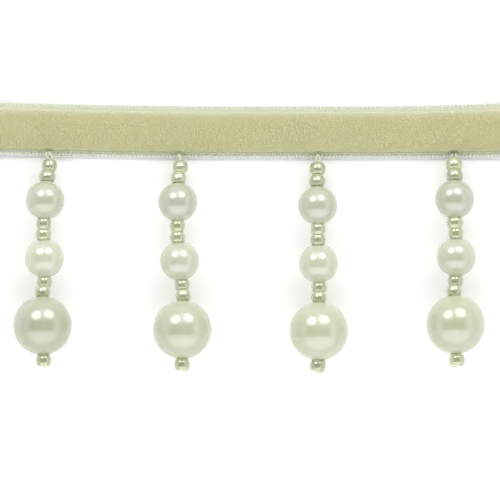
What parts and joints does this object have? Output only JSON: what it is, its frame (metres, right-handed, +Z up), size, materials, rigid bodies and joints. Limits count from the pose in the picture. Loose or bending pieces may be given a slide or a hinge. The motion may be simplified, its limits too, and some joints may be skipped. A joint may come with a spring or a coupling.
{
  "type": "beaded fringe trim",
  "caption": "Cut length of velvet ribbon with drops of imitation pearls and seed beads strung on thread along its lower selvedge, lying flat.",
  "frame": {"origin": "middle of the ribbon's flat back, on the surface it lies on", "axes": "+X along the ribbon, +Y across it towards the plain selvedge, with the drops towards -Y, +Z up out of the face"},
  "size_m": [0.1016, 0.0518, 0.011],
  "materials": {
    "velvet_ribbon": "short velvet pile with pale ribbed selvedges",
    "sewing_thread": "twisted doubled sewing thread",
    "seed_bead": "glossy golden olive lustre on glass",
    "small_pearl": "pearlescent, cool off-white",
    "large_pearl": "pearlescent, creamy off-white"
  },
  "bodies": {
    "root": {"velvet_ribbon": "velvet_ribbon", "drop_1_thread": "sewing_thread", "drop_1_seed_1": "seed_bead", "drop_1_seed_2": "seed_bead", "drop_1_pearl_1": "small_pearl", "drop_1_seed_3": "seed_bead", "drop_1_seed_4": "seed_bead", "drop_1_pearl_2": "small_pearl", "drop_1_seed_5": "seed_bead", "drop_1_seed_6": "seed_bead", "drop_1_large_pearl": "large_pearl", "drop_1_stopper_seed": "seed_bead", "drop_2_thread": "sewing_thread", "drop_2_seed_1": "seed_bead", "drop_2_seed_2": "seed_bead", "drop_2_pearl_1": "small_pearl", "drop_2_seed_3": "seed_bead", "drop_2_seed_4": "seed_bead", "drop_2_pearl_2": "small_pearl", "drop_2_seed_5": "seed_bead", "drop_2_seed_6": "seed_bead", "drop_2_large_pearl": "large_pearl", "drop_2_stopper_seed": "seed_bead", "drop_3_thread": "sewing_thread", "drop_3_seed_1": "seed_bead", "drop_3_seed_2": "seed_bead", "drop_3_pearl_1": "small_pearl", "drop_3_seed_3": "seed_bead", "drop_3_seed_4": "seed_bead", "drop_3_pearl_2": "small_pearl", "drop_3_seed_5": "seed_bead", "drop_3_seed_6": "seed_bead", "drop_3_large_pearl": "large_pearl", "drop_3_stopper_seed": "seed_bead", "drop_4_thread": "sewing_thread", "drop_4_seed_1": "seed_bead", "drop_4_seed_2": "seed_bead", "drop_4_pearl_1": "small_pearl", "drop_4_seed_3": "seed_bead", "drop_4_seed_4": "seed_bead", "drop_4_pearl_2": "small_pearl", "drop_4_seed_5": "seed_bead", "drop_4_seed_6": "seed_bead", "drop_4_large_pearl": "large_pearl", "drop_4_stopper_seed": "seed_bead"}
  },
  "joints": []
}
